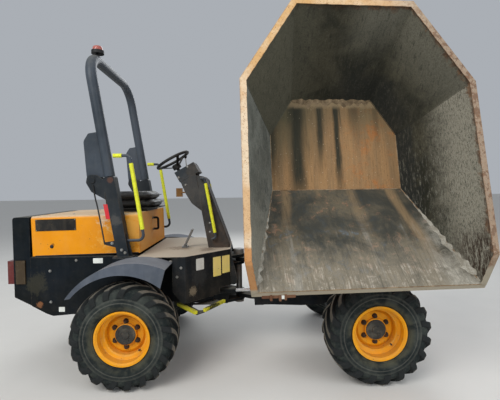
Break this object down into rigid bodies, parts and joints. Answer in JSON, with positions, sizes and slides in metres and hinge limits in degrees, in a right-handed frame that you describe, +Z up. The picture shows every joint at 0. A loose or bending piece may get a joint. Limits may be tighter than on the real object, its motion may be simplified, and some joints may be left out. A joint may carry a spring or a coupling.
{
  "type": "site dumper",
  "caption": "Articulated site dumper with a swivelling, tipping skip, folding roll bar and orange bonnet, shown with the skip turned to its right and tipped.",
  "frame": {"origin": "on the floor, under the middle of the whole machine's box in its rest pose", "axes": "+X forward (driver's view), +Y to the driver's left, +Z up"},
  "size_m": [3.8074, 2.2347, 2.9553],
  "materials": {
    "orange_paint": "worn gloss",
    "black_paint": "dusty satin",
    "worn_skip": "worn bare and rusty",
    "band_paint": "faded",
    "yellow_paint": "satin",
    "yellow_sleeve": "matt",
    "tyre_rubber": "dusty",
    "grey_steel": "oily",
    "ram_chrome": "polished",
    "cast_engine": "oily",
    "black_plastic": "matt",
    "seat_vinyl": "worn vinyl",
    "red_lens": "dusty gloss",
    "amber_lens": "dusty gloss"
  },
  "bodies": {
    "rear_body": {"rear_chassis": "black_paint", "engine": "cast_engine", "pivot_pin": "grey_steel", "tail_housing": "black_paint", "tow_jaw": "black_paint", "platform": "black_paint", "steps": "black_paint", "step_edges": "yellow_paint", "rear_mudguards": "black_plastic", "roll_posts": "black_paint", "beacon_cable": "black_plastic", "handrails": "black_paint", "yellow_grips": "yellow_sleeve", "console": "black_paint", "foot_pedal": "grey_steel", "stop_lamps": "red_lens", "turn_lamps": "amber_lens", "rear_axle": "black_paint"},
    "bonnet_body": {"bonnet": "orange_paint", "bonnet_plates": "black_plastic", "bonnet_handle": "black_plastic", "seat_base": "black_paint", "seat_cushion": "seat_vinyl"},
    "seat_back_body": {"seat_back": "seat_vinyl"},
    "roll_hoop_body": {"roll_hoop": "black_paint", "beacon_base": "black_plastic", "beacon_lens": "red_lens"},
    "steering_wheel_body": {"steering_wheel": "black_plastic"},
    "front_body": {"front_chassis": "black_paint", "front_axle": "black_paint"},
    "turntable_body": {"turntable": "black_paint"},
    "skip_body": {"skip_tub": "worn_skip", "skip_rim": "band_paint"},
    "tip_barrel_body": {"tip_barrel": "black_paint"},
    "tip_rod_body": {"tip_rod": "ram_chrome"},
    "steering_barrel_body": {"steering_barrel": "black_paint"},
    "steering_rod_body": {"steering_rod": "ram_chrome"},
    "wheel_rear_right": {"tyre_rear_right": "tyre_rubber", "rim_rear_right": "orange_paint"},
    "wheel_rear_left": {"tyre_rear_left": "tyre_rubber", "rim_rear_left": "orange_paint"},
    "wheel_front_right": {"tyre_front_right": "tyre_rubber", "rim_front_right": "orange_paint"},
    "wheel_front_left": {"tyre_front_left": "tyre_rubber", "rim_front_left": "orange_paint"}
  },
  "joints": [
    {"name": "articulation", "type": "hinge", "parent": "rear_body", "child": "front_body", "pos_m": [0.109, 0.211, 0.68], "axis": [0, 0, 1], "range_deg": [-32, 32]},
    {"name": "skip_swivel", "type": "hinge", "parent": "front_body", "child": "turntable_body", "pos_m": [0.949, 0.211, 0.71], "axis": [0, 0, 1], "range_deg": [-3.8, 176.2]},
    {"name": "skip_tip", "type": "hinge", "parent": "turntable_body", "child": "skip_body", "pos_m": [1.00235, -0.59223, 1.132], "axis": [0.9978, 0.0663, 0], "range_deg": [-78.75, 0]},
    {"name": "tip_ram_pivot", "type": "hinge", "parent": "turntable_body", "child": "tip_barrel_body", "pos_m": [0.98744, -0.36773, 0.845], "axis": [0.9978, 0.0663, 0], "range_deg": [-78.48, 0]},
    {"name": "tip_ram_extend", "type": "slide", "parent": "tip_barrel_body", "child": "tip_rod_body", "axis": [-0.0139, 0.2092, 0.9778], "range_m": [-0.46278, 0]},
    {"name": "steering_ram_pivot", "type": "hinge", "parent": "rear_body", "child": "steering_barrel_body", "pos_m": [-0.251, -0.024, 0.6], "axis": [0, 0, 1], "range_deg": [-10.57, 10.57]},
    {"name": "steering_ram_extend", "type": "slide", "parent": "steering_barrel_body", "child": "steering_rod_body", "axis": [0.9998, 0.0185, 0], "range_m": [-0.12688, 0.12688]},
    {"name": "steering_wheel_turn", "type": "hinge", "parent": "rear_body", "child": "steering_wheel_body", "pos_m": [-0.531, 0.211, 1.846], "axis": [-0.4848, 0, 0.8746], "continuous": true},
    {"name": "bonnet_hinge", "type": "hinge", "parent": "rear_body", "child": "bonnet_body", "pos_m": [-1.647, 0.211, 1.322], "axis": [0, -1, 0], "range_deg": [-1, 62]},
    {"name": "seat_back_fold", "type": "hinge", "parent": "bonnet_body", "child": "seat_back_body", "pos_m": [-1.09046, 0.211, 1.46774], "axis": [0, -1, 0], "range_deg": [0, 100]},
    {"name": "roll_bar_fold", "type": "hinge", "parent": "rear_body", "child": "roll_hoop_body", "pos_m": [-1.08752, 0.211, 1.64072], "axis": [0, 1, 0], "range_deg": [-95, 0]},
    {"name": "spin_rear_right", "type": "hinge", "parent": "rear_body", "child": "wheel_rear_right", "pos_m": [-0.783, -0.549, 0.415], "axis": [0, 1, 0], "continuous": true},
    {"name": "spin_rear_left", "type": "hinge", "parent": "rear_body", "child": "wheel_rear_left", "pos_m": [-0.783, 0.971, 0.415], "axis": [0, 1, 0], "continuous": true},
    {"name": "spin_front_right", "type": "hinge", "parent": "front_body", "child": "wheel_front_right", "pos_m": [1.205, -0.549, 0.415], "axis": [0, 1, 0], "continuous": true},
    {"name": "spin_front_left", "type": "hinge", "parent": "front_body", "child": "wheel_front_left", "pos_m": [1.205, 0.971, 0.415], "axis": [0, 1, 0], "continuous": true}
  ],
  "couplings": [
    {"joint": "tip_ram_pivot", "follows": "skip_tip", "ratio": 0.99643},
    {"joint": "tip_ram_extend", "follows": "skip_tip", "m_per_rad": 0.33663},
    {"joint": "steering_ram_pivot", "follows": "articulation", "ratio": 0.33},
    {"joint": "steering_ram_extend", "follows": "articulation", "m_per_rad": 0.227}
  ]
}
